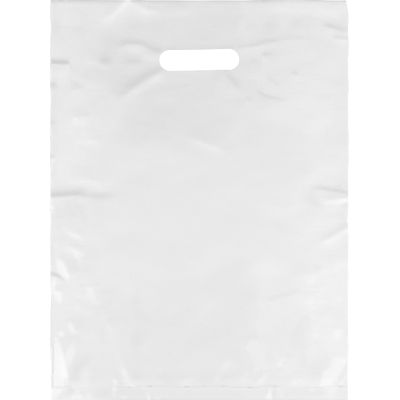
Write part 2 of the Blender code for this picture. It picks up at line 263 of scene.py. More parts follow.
# Creases of the front wall: path, height, and widths on the path's left and right. A path that runs to the
# right has the bag's upper side on its left.
FRONT_CREASES = [
    # Round the slot's left end
    Crease([(-87, 148), (-78, 153.5), (-70, 156.5), (-58, 155), (-49, 150.5), (-37, 147)],
           1.15, 3.8, 8, fade=(0.35, 0.05)),
    Crease([(-82, 136), (-67, 137.5), (-53, 136.5)], 0.7, 4, 9, fade=(0.4, 0.4)),
    Crease([(-104, 137), (-95, 138), (-84, 137)], 0.6, 3.4, 6, fade=(0.45, 0.5)),
    Crease([(-30, 132), (-40, 128.5), (-52, 122), (-64, 114.5), (-75, 106), (-89, 95)],
           1.9, (6.8, 9.5), (5.2, 8.5), fade=(0.2, 0.4)),
    Crease([(-58, 106), (-44, 107), (-28, 110), (-12, 113)], 0.3, 4, 8),
    # The slot's upper rim
    Crease([(-37, 150.5), (0.5, 151.3), (39, 152.4)], 0.6, 2.2, 3, fade=(0.1, 0.1)),
    # Round the slot's right end
    Crease([(38, 152.5), (60, 156), (76, 159), (88, 161.5), (98, 162.5)],
           0.55, (2, 3), 5.5, fade=(0.02, 0.5)),
    Crease([(80, 160.5), (96, 161.5), (112, 162.5)], 0.3, 2.5, 5),
    Crease([(14, 131), (22, 127.8), (28, 122.5), (33, 116.5), (37.5, 110), (44, 101)],
           1.2, 5, 14, fade=(0.25, 0.4)),
    Crease([(56, 116.5), (61, 110), (66, 106.5), (73, 104), (87, 101.5)], -0.25, 3.5, 3, fade=(0.1, 0.3)),
    Crease([(64, 122), (71, 119), (82, 113)], 0.3, 2.5, 6),
    Crease([(46, 100.5), (54, 100)], 0.3, 2.5, 5),
    Crease([(90, 127.5), (101, 125)], 0.5, 2.5, 5),
    Crease([(61, 145), (74, 144.5)], 0.6, 3, 7),
    Crease([(50, 136.5), (61, 139)], 0.25, 3.5, 7),
    # The peak at the lip
    Crease([(-104, 176), (-90, 186), (-80, 194), (-73, 203)], 0.6, 7, 5, fade=(0.4, 0)),
    Crease([(-73, 203), (-66, 196), (-56, 190.5), (-36, 188.5), (4, 191)], 0.4, 9, 5, fade=(0, 0.4)),
    Crease([(-80.5, 195.5), (-73, 201.3), (-65.5, 195.5)], 0.35, 2),
    # At the right fold, near the mouth
    Crease([(119, 176.5), (131, 173), (151, 166.5)], 1.1, 4.2, 10, fade=(0.35, 0.2)),
    Crease([(131, 163), (149, 161)], 0.7, 3, 5, fade=(0.4, 0)),
    # At the left fold: a short sharp pleat and four nicks
    Crease([(-151, 137.2), (-142, 136.9), (-129, 136.6)], 2.3, 2.8, 16, fade=(0, 0.2), power=1.4),
    Crease([(-151, 114.5), (-143, 114)], 0.9, 3, 6, fade=(0, 0.6)),
    Crease([(-151, 77.5), (-143, 75.5)], 0.9, 2.5, 9, fade=(0, 0.6)),
    Crease([(-151, 43), (-144, 41.5)], 1.3, 2, 6, fade=(0, 0.6)),
    Crease([(-151, 24), (-146, 24)], 0.7, 2, 5, fade=(0, 0.6)),
    # Faint dashes
    Crease([(-130, 111), (-112, 112)], 0.35, 3, 5),
    Crease([(-129, 83), (-110, 84.5)], 0.4, 2.5, 5),
    Crease([(-37, 84), (-24, 85.5)], 0.3, 2.5, 5),
    Crease([(-62, 88), (-49, 89)], 0.25, 2.5, 5),
    Crease([(-19, 113), (-6, 114.5)], 0.35, 2.5, 5),
    Crease([(-64, 76), (-48, 73)], 0.2, 2.5, 5),
    Crease([(-112, 60), (-96, 61)], 0.25, 3, 6),
    Crease([(60, 92), (72, 91)], 0.25, 2.5, 5),
    Crease([(118, 101), (132, 103)], 0.25, 3, 6),
    Crease([(131, 69), (142, 71)], 0.3, 5, 4),
    # The buckle at the left fold, half way down
    Crease([(-151, 2.7), (-143, 2.8), (-134, 3.4), (-124, 4.7), (-114, 4), (-102, 1.6)],
           1.4, 4.6, 5.5, fade=(0, 0.4), power=1.5),
    Crease([(-151, 3.3), (-96, 4.3)], 0.9, 5, 20, fade=(0, 0.9)),
    Crease([(-113, 1), (-98, 3), (-82, 2)], 0.45, 3, 5, fade=(0.2, 0.4)),
    Crease([(-146, 20), (-118, 22), (-96, 18), (-80, 11)], 0.6, 20, 9),
    Crease([(-138, -23), (-133, -29.5), (-124, -34.5), (-114, -41)], 0.18, 6, 4),
    # The lower edge of the grip
    Crease([(-15, 63), (0, 60), (12, 54), (26, 52)], 0.35, 6, 3),
    # At the right fold, half way down
    Crease([(108, 9), (121, 9.9), (131, 8.9), (142, 7.4), (151, 6.4)], 1.15, (4.6, 2.8), 11),
    Crease([(120, -0.5), (136, 0.5), (151, 3)], 0.85, 6, 3, fade=(0.4, 0)),
    Crease([(50, -4), (80, -5), (106, -6)], 0.5, 16, 8),
    Crease([(114, -45.5), (122, -42), (131, -37), (142, -31), (151, -26)], 0.85, 3.4, 5, fade=(0.6, 0)),
    Crease([(134, -63), (151, -59.5)], 0.35, 9, 3.5, fade=(0.4, 0)),
    # Low on the right
    Crease([(62, -103), (76, -99.5), (91, -95), (104, -90)], 0.4, 2.8, 7, fade=(0.2, 0.2)),
    Crease([(86, -158), (79, -171)], -0.4, 3),
    # Low on the left: a facet that turns up to the light, with a fold below it
    Crease([(-136, -42), (-131, -46), (-124, -50), (-113, -56)], 0.22, 6, 4),
    Crease([(-143, -56), (-136, -61.5), (-133, -68), (-129, -80)], 0.4, 5, 4, fade=(0.2, 0.25)),
    Crease([(-151, -74.5), (-144, -77), (-139, -79.5), (-133, -83.5)], 1.3, 2.2, 9, fade=(0, 0.6)),
    Crease([(-148, -90), (-135, -92)], 0.9, 10, 6, fade=(0.2, 0.3)),
    Crease([(-110, -82), (-106, -92), (-102, -104)], 0.35, 9, 4.5),
    Crease([(-92, -118), (-86, -133)], 0.4, 9, 4.5),
    Crease([(-130, -119), (-124, -135)], 0.5, 9, 4),
    Crease([(-144, -139), (-140, -144.5), (-137, -152.5), (-134, -162.5), (-129, -192)],
           1.1, 9, 6, fade=(0.35, 0)),
    # Folds that fan out above the weld
    Crease([(-82, -148), (-74, -168), (-67, -188)], 0.9, 9, 4.5, fade=(0.6, 0)),
    Crease([(-15, -172), (-16, -190)], 0.4, 5, 3, fade=(0.6, 0)),
    Crease([(32, -156), (25, -168), (17, -182)], 0.5, 4.5, 4),
    Crease([(57, -136), (49, -153)], 0.5, 4.5, 4),
    Crease([(56, -164), (45, -186)], 0.4, 5, 4),
    Crease([(67, -168), (55, -188)], 0.6, 6, 5, fade=(0.4, 0)),
    Crease([(92, -156), (82, -168)], 0.35, 6, 5),
    Crease([(104, -168), (98, -190)], 0.4, 6, 5, fade=(0.6, 0)),
    Crease([(131, -157), (125, -168), (120, -189)], 0.6, 12, 9, fade=(0.4, 0)),
    # Pleats in the skirt
    Crease([(70, -188), (69, -201)], 0.8, 3, fade=(0.3, 0)),
    Crease([(82, -188), (85, -201)], 0.6, 3, fade=(0.3, 0)),
    Crease([(-122, -190), (-124, -201)], 0.6, 7, 5, fade=(0.3, 0)),
    Crease([(-86, -188), (-85, -196)], 0.6, 3),
    Crease([(-53, -194), (-52, -201)], 0.4, 2.5, fade=(0.3, 0)),
]

# Soft swellings of the front wall: middle, radii and height
FRONT_SPOTS = [
    Spot((138, -130), (6, 6), 0.6),
    Spot((130, -195), (16, 5), 0.3),
]

# Where the walls cling together, so that the film looks a little darker, together with painted shade where
# creases and folds turn from the light and painted highlights where facets catch it, so that it looks whiter.
# A height or strength of 1 is two walls that touch.
CLING_AND_PAINTED_LIGHT = [
    # The grip
    Zone([(-45, 215), (-55, 190), (-92, 168), (-100, 140), (-92, 112), (-76, 96), (-84, 62), (-50, 58),
          (-14, 62), (26, 50), (29, 66), (31, 80), (44, 96), (44, 118), (42, 140), (39, 158), (38, 215)],
         0.6, 6, ragged=2),
    Zone([(-48, 192), (-10, 190), (37, 194), (37, 155), (0, 156), (-45, 152)], 0.25, 4, ragged=1.5),
    # Left of the slot
    Spot((-86, 158), (14, 8), 0.6),
    Spot((-98, 146), (28, 6), 0.5),
    Spot((-62, 146), (16, 5), 0.5),
    Spot((-69, 133.5), (13, 4), 0.6),
    Spot((-55, 108), (14, 7), 0.7),
    Crease([(-44, 126), (-66, 114), (-90, 97)], 0.5, 10),
    Crease([(-36, 125.5), (-45, 119.5), (-57, 112), (-70, 105.5), (-80, 99.5)], -0.6, 2.2, fade=(0.2, 0.4)),
    Spot((-103, 124), (45, 15), 0.7),
    Spot((-95.5, 139.5), (7.5, 5), 1.8),
    Spot((-66, 138.5), (9, 3.5), 0.8),
    Crease([(-73, 151), (-61, 148), (-51, 143), (-42, 139.5)], -0.7, 2.6, fade=(0.3, 0.2)),
    Crease([(-38, 147.5), (-46, 149), (-54, 152)], 0.8, 3.2, fade=(0, 0.4)),
    Crease([(-116, 86), (-109, 86)], 0.7, 2),
    Crease([(-38, 155), (-48, 153), (-55, 158), (-64, 159.5), (-73, 156.5)], 0.35, 3),
    Crease([(-38, 132.5), (-52, 127), (-60, 122.5), (-70, 115), (-80, 107.5)], 0.4, 3, fade=(0.2, 0.3)),
    Spot((-115, 124.5), (3, 2.5), 0.6),
    Spot((-124.5, 115.5), (5, 2.5), 0.5),
    # Right of the slot
    Crease([(58, 112), (62, 107.5), (67, 104.7), (76, 102.7), (85, 101), (92, 104.5)],
           1.4, 1.9, fade=(0.15, 0.4)),
    Crease([(25, 129), (31, 124), (36, 118.5), (41, 110)], 0.8, 3),
    Crease([(38, 153), (56, 157), (68, 160), (78, 161), (96, 162)], 0.35, 2, fade=(0.1, 0.4)),
    Crease([(61, 145.5), (70, 145), (79, 147)], 1, 3),
    Spot((50, 134), (9, 12), 0.55),
    Spot((58, 90), (24, 14), -0.45),
    Spot((68, 95.5), (15, 6), -0.5),
    Crease([(64, 123.5), (71, 120.5), (82, 114.5)], 0.6, 2.2),
    Crease([(46, 101.5), (54, 100.5)], 0.7, 2.2),
    Crease([(80, 161.5), (96, 162), (105, 162)], 0.5, 1.6),
    Crease([(90, 128), (101, 126)], 0.7, 2.2),
    Spot((104, 94), (30, 22), -0.75),
    # Along the mouth
    Crease([(121, 178), (131, 175), (145, 169.5)], 1, 2.4),
    Crease([(131, 164.5), (147, 162.5)], 0.6, 2.5),
    Spot((52, 175.5), (4.5, 4.5), 0.7),
    Spot((71, 176), (8.5, 6.5), 1.2),
    Spot((97, 177), (7, 5), 1.1),
    Spot((109, 173.5), (4, 3), 0.5),
    Spot((135, 198), (7, 2.5), 0.8),
    Crease([(-71.5, 200), (-79, 192), (-88, 183.5), (-101, 178.5)], -1, 3, fade=(0, 0.4)),
    Crease([(-71.5, 200), (-64, 195), (-56.5, 191), (-47.5, 189.3), (-34, 189)], -1.4, 2.2, fade=(0, 0.6)),
    Spot((-75, 186), (38, 10), -0.35),
    Crease([(-66, 190), (-48, 189), (-22, 188.5), (2, 190)], -0.9, 4, (6, 4.5), fade=(0.15, 0.3)),
    Spot((-143, 175.5), (5, 8), 0.8),
    Spot((-126, 192.5), (4, 3), 0.5),
    Spot((-121, 173), (8, 4), 0.5),
    Spot((-93, 195), (11, 3), 0.3),
    Spot((-98, 191), (7, 8), -0.4),
    Spot((-64, 174.5), (8, 3), 0.6),
    Spot((83, 191), (20, 4), -0.8),
    Spot((128, 187), (14, 7), -0.9),
    Spot((110, 163), (4, 4), 0.4),
    Spot((79, 177), (17, 10), -0.4),
    Spot((-132, 170), (8, 8), -0.4),
    # Nicks at the left fold
    Spot((-147, 114.5), (4, 4.5), 1.9),
    Spot((-146, 152), (5, 12), -0.8),
    Spot((-141, 133.5), (11, 4.5), 1.1),
    Spot((-147, 73), (4, 6), 1),
    # Below the grip and left of it
    Spot((-10, 80), (50, 22), -0.5),
    Spot((32, 82), (24, 22), -0.65),
    Crease([(-12, 58), (2, 55), (16, 51), (32, 46)], -0.8, 3),
    Spot((42, 45), (28, 10), -0.25),
    Spot((-130, 60), (14, 30), -0.45),
    # Half way down on the left
    Spot((-124, -8), (28, 13), 0.8),
    Spot((-96, -62), (14, 10), -0.4),
    Spot((-135, 32), (16, 13), -0.7),
    Crease([(-150, 5.8), (-134, 6.3), (-122, 7.6), (-112, 5.5)], 1.3, 2.6, 2.2, fade=(0, 0.3)),
    Crease([(-112, 4), (-98, 2.5), (-86, 2)], 0.7, 3),
    Spot((-148.5, -7.3), (1.8, 1.7), -4.5),
    Spot((-148.5, -11.4), (1.5, 1.3), -3),
    Spot((-148.5, -9.3), (1.5, 0.9), 2.5),
    Spot((-130, -0.5), (18, 4), 1),
    Spot((-130, -13), (22, 16), 0.6),
    Crease([(-129, 3.5), (-120, 3.5), (-112, 3)], 1.3, 2.6),
    Zone([(-116, 5), (-100, 8.5), (-88, 8), (-83, 2.5), (-92, 3), (-97, -1.5), (-107, -2.5), (-114, 0)],
         0.8, 2.2),
    Crease([(-126, -5.8), (-111, -5.8)], 0.6, 1.8),
    Crease([(-136, -5.5), (-129, -6)], 0.6, 1.6),
    Spot((-141.5, -16.5), (5, 2), 0.7),
    Spot((-126, -15.3), (2.5, 2), 0.4),
    Crease([(-139, -23), (-134.5, -30), (-130, -33.5), (-124, -36.5), (-119, -39), (-114, -42)],
           -0.6, 2.8, fade=(0.2, 0.2)),
    Crease([(-122, -25), (-114, -29), (-107, -34)], -0.4, 3),
    Spot((-122, -44.5), (6, 3.5), 0.6),
    Crease([(-136, -44), (-130, -48.5), (-124, -51), (-117, -54), (-111, -58)], -0.65, 2.8, fade=(0.1, 0.4)),
    Spot((-126, -62), (11, 9), 0.35),
    Spot((-125, -71), (4.5, 3), 0.4),
    Spot((-148.5, -56), (2.5, 14), 0.9),
    Spot((-144, -45), (1.8, 5), -0.8),
    # Half way down on the right
    Spot((130, 30), (16, 16), -0.5),
    Spot((114, 1), (9, 6), 0.8),
    Spot((80, 6), (30, 15), -0.6),
    Spot((88, -28), (32, 20), -0.4),
    Crease([(110, 11.5), (121, 12), (131, 11), (142, 9.5)], 0.4, 2.6, fade=(0.2, 0.2)),
    Crease([(134, 12.5), (138, 14), (144, 16)], 0.9, 1.6),
    Spot((112, 4), (8, 6), 0.5),
    Spot((117, -5), (6, 4), 0.6),
    Crease([(141, 8.8), (150, 7.8)], 2, 1.2, fade=(0.2, 0)),
    Spot((145.5, -5), (4, 2.6), 1.5),
    Spot((143, -15), (5, 8), 0.5),
    # The lower middle
    Zone([(-70, -85), (0, -75), (53, -62), (53, -150), (45, -178), (-40, -181), (-62, -176), (-65, -145),
          (-64, -108)], 0.35, 2.5, ragged=1.5),
    Zone([(-60, -112), (0, -108), (50, -100), (50, -150), (42, -177), (-40, -180), (-60, -150)],
         0.45, 8, ragged=3),
    Spot((-10, -137), (75, 24), 0.6),
    # Folds that fan out above the weld
    Crease([(70, -171), (58, -187)], -1, 3),
    Crease([(86, -157), (78, -169)], -0.7, 2.4),
    Crease([(31, -157), (25, -166), (15, -182)], -1, 2.4, fade=(0.15, 0.15)),
    Crease([(55.5, -136), (47.5, -151)], -1.6, 2.2),
    Crease([(51, -171), (40, -184)], -0.8, 3),
    # Low on the right
    Spot((85, -140), (25, 20), 0.4),
    Spot((72, -72), (28, 18), -0.85),
    Spot((101, -131), (7, 8), 0.3),
    Zone([(109, -114), (101, -118), (97, -126), (91, -136), (90, -146), (100, -150), (112, -146),
          (113, -125)], 0.7, 2.5),
    Spot((119, -67), (4, 6), 0.7),
    Spot((121, -84), (7, 6), 0.7),
    Spot((121, -136), (9, 12), 0.6),
    Spot((97, -154), (7, 6), 0.55),
    Spot((134.5, -76), (4, 2.5), 0.5),
    Spot((106.5, -84), (3, 2.5), 0.6),
    Zone([(127, -40), (152, -40), (152, -156), (127, -156)], -0.5, 10),
    Spot((140, -98), (5, 6), -0.7),
    Spot((138, -133), (4, 4.5), -0.8),
    Spot((140, -139), (2.5, 3.5), -0.5),
    Spot((118.5, -141.5), (4.5, 3), 0.7),
    Spot((148, -130.5), (2.5, 6), 0.8),
    Spot((104.5, -157), (4, 12), 0.7),
    Spot((116, -171), (6, 9), 0.65),
    Spot((70, -158), (4, 7), 0.6),
    Zone([(135, -158), (148.5, -158), (145, -168.5), (137, -180.5), (131, -187), (121, -186),
          (124, -173.5), (130, -168.5)], -1.1, 1.4, sharp=True),
    Zone([(147.5, -176), (141, -183), (139, -186.5), (143, -186), (148, -179)], -1, 1.2, sharp=True),
    Spot((146, -168.5), (3, 3.5), 0.8),
    Spot((143.5, -177.5), (3, 3), 0.6),
    Zone([(89, -187), (93, -178.5), (104, -179.5), (97, -187)], -0.8, 2.4, sharp=True),
    Crease([(127, -76), (121, -90), (118, -110), (118, -138)], 0.6, 5, fade=(0.1, 0.2)),
    # Low on the left
    Zone([(-128, -96), (-64, -96), (-62, -182), (-122, -184)], 0.8, 9, ragged=2),
    Spot((-126, -128), (18, 30), 0.4),
    Spot((-96, -132), (4.5, 9), 0.6),
    Spot((-103.5, -114), (3, 4.5), 0.7),
    Spot((-117.5, -87.5), (4.5, 5), 0.6),
    Spot((-118, -70), (12, 17), 1.2),
    Spot((-80, -97), (14, 11), -0.6),
    Spot((-130, -104), (15, 9), -0.2),
    Spot((-122.5, -108), (2.5, 4), -0.8),
    Zone([(-144.5, -57), (-141, -60.5), (-137, -63), (-134, -68), (-130.5, -79), (-131.5, -82.5),
          (-138, -77), (-142.5, -72)], -1.6, 0.8, sharp=True),
    Crease([(-149.5, -73), (-144, -75), (-140, -77), (-134, -81)], 1.4, (2, 1), (1, 1), fade=(0, 0.9)),
    Zone([(-144.5, -92.5), (-141.5, -91), (-138.5, -94.5), (-138, -103.5), (-142, -104), (-145.5, -99)],
         -1.5, 1, sharp=True),
    Zone([(-143.5, -141), (-140, -142.5), (-137, -152.5), (-134, -162.5), (-132, -175), (-131.5, -179),
          (-137, -178), (-136, -187), (-146.5, -187), (-146.5, -146)], -1.7, 0.9, sharp=True),
    Spot((-134.5, -171), (3, 5), 0.6),
    Spot((-138.8, -134), (2.8, 2.4), -2.8),
    Spot((-143.8, -139.3), (2, 1.9), -2.4),
    Zone([(-127.5, -143), (-125, -149), (-126, -158), (-131, -166.5), (-133, -163), (-133.5, -152)],
         -1.2, 1.8),
    Crease([(-131, -120), (-128, -127), (-124, -134)], -1.2, 2.6, fade=(0.2, 0.2)),
    Crease([(-116, -149), (-114, -160), (-119, -166), (-125, -172), (-124, -180), (-126, -187)], 1, 3.4),
    Spot((-114.5, -176.5), (4, 9), -1),
    Zone([(-80, -169), (-73, -170), (-65, -187), (-76, -187)], -1.3, 3.4, sharp=True),
    Crease([(-110, -86), (-98, -115), (-89, -133), (-80, -165)], -0.35, 4, fade=(0.2, 0)),
    Spot((-129.5, -183), (4.5, 7), 1.2),
    Crease([(-87, -179), (-82.5, -186)], -2.4, 1.8, fade=(0.2, 0.1)),
    # The skirt
    Zone([(-100, -190), (30, -190), (30, -201), (-100, -201)], 0.5, 3),
    Zone([(-150, -188.5), (-136, -189.5), (-144, -199), (-150, -201)], -1.8, 1, sharp=True),
    Zone([(-122, -189), (-116.5, -199), (-129.5, -199)], -1.5, 1, sharp=True),
    Spot((-111, -196), (3, 3), -1),
    Spot((-130, -190.5), (2, 2), 1.5),
    Spot((-85.5, -189.5), (2.4, 2.6), -2.2),
    Spot((-86, -194), (2, 3), -0.8),
    Crease([(-52.5, -191), (-50.5, -200.5)], -1.6, 1.6, fade=(0.5, 0)),
    Spot((-76, -198), (2.2, 1.6), -1.5),
    Spot((-43, -198), (2, 1.5), -1),
    Zone([(71, -188), (73.5, -199.5), (66, -199.5)], -2.2, 0.8, sharp=True),
    Spot((75, -196), (1.8, 4), 1.2),
    Crease([(79, -188.5), (85, -199)], -1.2, 1.8, fade=(0.1, 0.1)),
    Spot((112.5, -190.5), (2, 2.5), -1.2),
    Spot((132, -192), (6, 6), -1.4),
]


def fold_height(v):
    """Height of a side fold in millimetres: twice its outside radius, which the weld flattens."""
    full = 2 * SIDE_FOLD_RADIUS / MM - LEAST_GAP
    above = between(v, WELD_TOP, WELD_TOP + FOLD_OPENING)
    below = between(v, WELD_LOW, WELD_LOW - SKIRT_LENGTH / MM)
    return full * above + SKIRT_GAP * below


def back_height(u, v):
    """Height of the back wall's outer face over the floor, in millimetres."""
    waves = ripple(u, v, seed=11, wavelength=40.0, height=0.16)
    lift = (np.hypot(waves, WAVE_ROUNDING) - WAVE_ROUNDING) * between(v, WELD_TOP, WELD_TOP + BACK_RUN)
    return BACK_LIFT * np.tanh(lift / BACK_LIFT) * rise((SIDE - np.abs(u)) / BACK_RUN)


def front_height(u, v):
    """Height of the front wall's outer face over the floor, in millimetres."""
    from_side = FOLD_LINE - np.abs(u)
    beside_grip, below_grip = np.maximum(np.abs(u) - GRIP_HALF_WIDTH, 0), np.maximum(GRIP_LOW_Y - v, 0)
    off_grip = np.hypot(beside_grip / GRIP_RUN, below_grip / GRIP_FALL)
    loft = LOFT * rise(from_side / SIDE_RISE) * between(v, WELD_TOP, WELD_TOP + BOTTOM_RISE) * rise(off_grip)
    laid = rise(from_side / FOLD_REACH)
    edge = fold_height(v) * (1 - laid) + REST_GAP * laid
    relief = ripple(u, v, seed=3, wavelength=55.0, height=0.20)
    relief += ripple(u, v, seed=5, wavelength=24.0, height=0.05, stretch=1.6)
    relief += ripple(u, v, seed=8, wavelength=11.0, height=0.015)
    for form in FRONT_CREASES + FRONT_SPOTS:
        form.add_to(relief, u, v)
    # The walls part above the weld, at once and then slowly, and half as far in the skirt
    parted = 0.2 * between(v, WELD_TOP, WELD_TOP + 1.6) + 0.8 * between(v, WELD_TOP, WELD_TOP + 9.0)
    parted += 0.5 * between(v, WELD_LOW, WELD_LOW - 8.0)
    # The lip bends down to the back wall, less so on the right
    lip = (0.42 - 0.2 * between(u, 64, 76)) * between(v, 198.2, 200.8)
    free = (edge + relief) * parted + loft - lip
    return back_height(u, v) + LEAST_GAP + SETTLING * np.log1p(np.exp(np.clip(free / SETTLING, -40, 40)))


def side_insets(v):
    """How far the left and the right edge are drawn in from the bag's full width, in millimetres."""
    left = 0.15 + 0.3 * hill(v, 139, 3) + 0.3 * hill(v, -100, 12)
    right = 0.10 + 2.0 * between(v, 186, 202) + 0.7 * hill(v, -20, 8) + 0.3 * hill(v, 166, 5)
    return left, right + 0.5 * hill(v, 139.5, 3)


def left_fold_painted_light(v, from_edge):
    """Low along the left edge: a fine painted shade line at the fold, with a painted highlight outside it."""
    low = between(v, -142, -150) * between(v, -190, -187)
    line = 1.0 + 1.9 * low * between(v, -178, -172) + 1.0 * hill(v, -184, 5)
    shown = between(v, -100, -106) * (0.7 + 0.3 * between(v, -140, -146)) * between(v, -189, -186)
    return 3.2 * hill(from_edge, line, 0.8) * shown - 1.6 * rise((line - 0.4 - from_edge) / 0.6) * low


def cling_and_painted_light(u, v):
    """How closely the walls cling, with painted shade and highlights, from the forms above and at the edges.
    """
    cling_shade_and_highlight = np.zeros_like(u)
    for form in CLING_AND_PAINTED_LIGHT:
        form.add_to(cling_shade_and_highlight, u, v)
    left, right = side_insets(v)
    from_edge = np.where(u < 0, SIDE - left + u, SIDE - right - u)
    # Painted highlight towards the sides and more so at the folds, painted shade inside the upper half of the
    # left one
    cling_shade_and_highlight -= 0.5 * between(np.abs(u), 70, 145)
    cling_shade_and_highlight -= 0.8 * between(from_edge, 2.4, 0.8) * np.where(u < 0, 1.0, 1.0 + 0.6 * between(v, -40, -70))
    cling_shade_and_highlight += 0.4 * between(from_edge, 9, 4) * between(v, 0, 30) * (u < 0)
    cling_shade_and_highlight += left_fold_painted_light(v, from_edge) * (u < 0)
    # Darker just above the weld, and whiter along the mouth from its middle to the right
    cling_shade_and_highlight += 0.5 * between(v, -168, -178) * between(v, -189, -187) * between(u, -92, -84) * between(u, 76, 68)
    cling_shade_and_highlight -= 0.5 * between(v, 184, 190) * between(u, -20, -5)
    return cling_shade_and_highlight


def weld_strength(u):
    """How far the weld's painted shade line shows: it has a gap on the left and a faint stretch on the right.
    """
    faint = 0.85 * between(np.abs(u - 94), 12, 10)
    return 0.6 * between(u, -127, -129) + between(u, -92, -89) * (1.0 - faint)


def slackness(u, v):
    """How finely wrinkled the film is: least in the middle of the lower half, where it is taut."""
    taut = between(np.abs(u), 130, 40) * between(v, 70, 10) * between(v, -160, -100)
    return 1.0 - 0.75 * taut


def outline_shift(u, v):
    """How far the film is drawn sideways and lengthways from its flat place, in millimetres."""
    left, right = side_insets(v)
    wander = ripple(v, np.zeros_like(v), seed=41, wavelength=30.0, height=0.12)
    sideways = np.where(u < 0, left - wander, wander - right) * between(np.abs(u), FOLD_LINE - 14, FOLD_LINE)
    lengthways = ripple(u, np.zeros_like(u), seed=43, wavelength=45.0, height=0.12) * hill(v, WELD_Y / MM, 7)
    return sideways, lengthways - 0.4 * between(u, 55, 95) * between(v, 185, 201)


def lip_setback(u, v):
    """How far the front wall's lip lies below the back wall's, in millimetres."""
    short = LIP_SETBACK / MM * (1 - 0.75 * hill(u, -73, 6) - 0.4 * hill(u, -52, 5))
    return short * between(v, SLOT_Y / MM, MOUTH_Y / MM)


def slot_outline():
    """The die-cut slot's outline, in metres, anticlockwise."""
    radius = SLOT_HEIGHT / 2
    straight = SLOT_LENGTH / 2 - radius
    points = []
    for side in (1, -1):
        for turn in np.linspace(-math.pi / 2, math.pi / 2, SLOT_STEPS):
            points.append((side * (straight + radius * math.cos(turn)), side * radius * math.sin(turn)))
    # Points on the straight stretches, so that the film can bend along them
    full = []
    for (x0, y0), (x1, y1) in zip(points, points[1:] + points[:1]):
        count = max(1, round(math.hypot(x1 - x0, y1 - y0) / EDGE_STEP))
        full += [(x0 + (x1 - x0) * i / count, y0 + (y1 - y0) * i / count) for i in range(count)]
    c, s = math.cos(SLOT_TILT), math.sin(SLOT_TILT)
    return [(SLOT_X + c * x - s * y, SLOT_Y + s * x + c * y) for x, y in full]


def in_slot(x, y, margin):
    """True for places inside the slot or within margin of it."""
    c, s = math.cos(SLOT_TILT), math.sin(SLOT_TILT)
    dx, dy = x - SLOT_X, y - SLOT_Y
    along, across = c * dx + s * dy, c * dy - s * dx
    straight = (SLOT_LENGTH - SLOT_HEIGHT) / 2
    return np.hypot(np.maximum(np.abs(along) - straight, 0), across) < SLOT_HEIGHT / 2 + margin


# The mesh's regular lines: rows across the bag, and columns along it
ROWS = np.concatenate([
    np.linspace(MOUTH_Y, WELD_TOP_Y, round((MOUTH_Y - WELD_TOP_Y) / EDGE_STEP) + 1),
    [WELD_Y],
    np.linspace(WELD_LOW_Y, TRIM_Y, round((WELD_LOW_Y - TRIM_Y) / EDGE_STEP) + 1),
])
COLUMNS = np.linspace(-EDGE_X, EDGE_X, round(2 * EDGE_X / EDGE_STEP) + 1)
LINES = {"mouth": MOUTH_Y, "trim": TRIM_Y, "weld_top": WELD_TOP_Y, "weld": WELD_Y, "weld_low": WELD_LOW_Y}
LINE_ROWS = {name: int(np.abs(ROWS - y).argmin()) for name, y in LINES.items()}


def staggered(step):
    """Places on a grid whose rows are staggered, over the whole wall."""
    places = []
    for i, y in enumerate(np.arange(TRIM_Y + step, MOUTH_Y - step / 2, step * ROW_SHARE)):
        x = np.arange(-HALF_WIDTH + step * (1 + 0.5 * (i % 2)), HALF_WIDTH - step / 2, step)
        places.append(np.column_stack([x, np.full(len(x), y)]))
    return np.vstack(places)


def clear_of_lines(places, margin):
    """The places that keep a margin from the slot, the folds, the weld and both ends."""
    x, y = places[:, 0], places[:, 1]
    keep = ~in_slot(x, y, margin)
    keep &= np.abs(x) < EDGE_X - margin
    keep &= (y < MOUTH_Y - margin) & (y > TRIM_Y + margin)
    for line in (WELD_TOP_Y, WELD_Y, WELD_LOW_Y):
        keep &= np.abs(y - line) > min(margin, WELD_WIDTH / 4)
    return places[keep]


def detail(places):
    """How fine the front wall's mesh is at each place: 0 plain, 1 in soft relief, 2 on sharp creases."""
    x, y = places[:, 0], places[:, 1]
    u, v = x / MM, y / MM
    uneven = ripple(u, v, seed=61, wavelength=30.0, height=3.0)  # so that no straight border shows
    soft = (np.abs(u) > 110 + uneven) | (v < -148 + uneven) | (v > 185) | in_slot(x, y, 14 * MM)
    soft |= (u < -96 + uneven) & (np.abs(v + 15 + uneven) < 55)
    sharp = (v < -160) | (v > 194) | in_slot(x, y, 3 * MM)
    sharp |= ((u < -117 + uneven) & (v < -18 + uneven)) | ((u > 124 + uneven) & (v < -150))
    level = np.where(sharp, 2, np.where(soft, 1, 0))
    for crease in FRONT_CREASES:
        inside = np.flatnonzero(crease.near(u, v, crease.widest * SOFT_REACH))
        if len(inside):
            away = np.abs(beside(u[inside], v[inside], crease.line)[0])
            found = np.where(away < crease.widest * SOFT_REACH, 1, 0)
            if crease.narrowest < SHARP_WIDTH:
                found[away < crease.narrowest * SHARP_REACH] = 2
            level[inside] = np.maximum(level[inside], found)
    return level


def front_places():
    """Places over the front wall, closer together where the film is creased."""
    chosen = []
    for level, step in enumerate((PLAIN_STEP, RELIEF_STEP, CREASE_STEP)):
        places = staggered(step)
        chosen.append(places[detail(places) == level])
    return clear_of_lines(np.vstack(chosen), EDGE_STEP * CLEAR_SHARE)


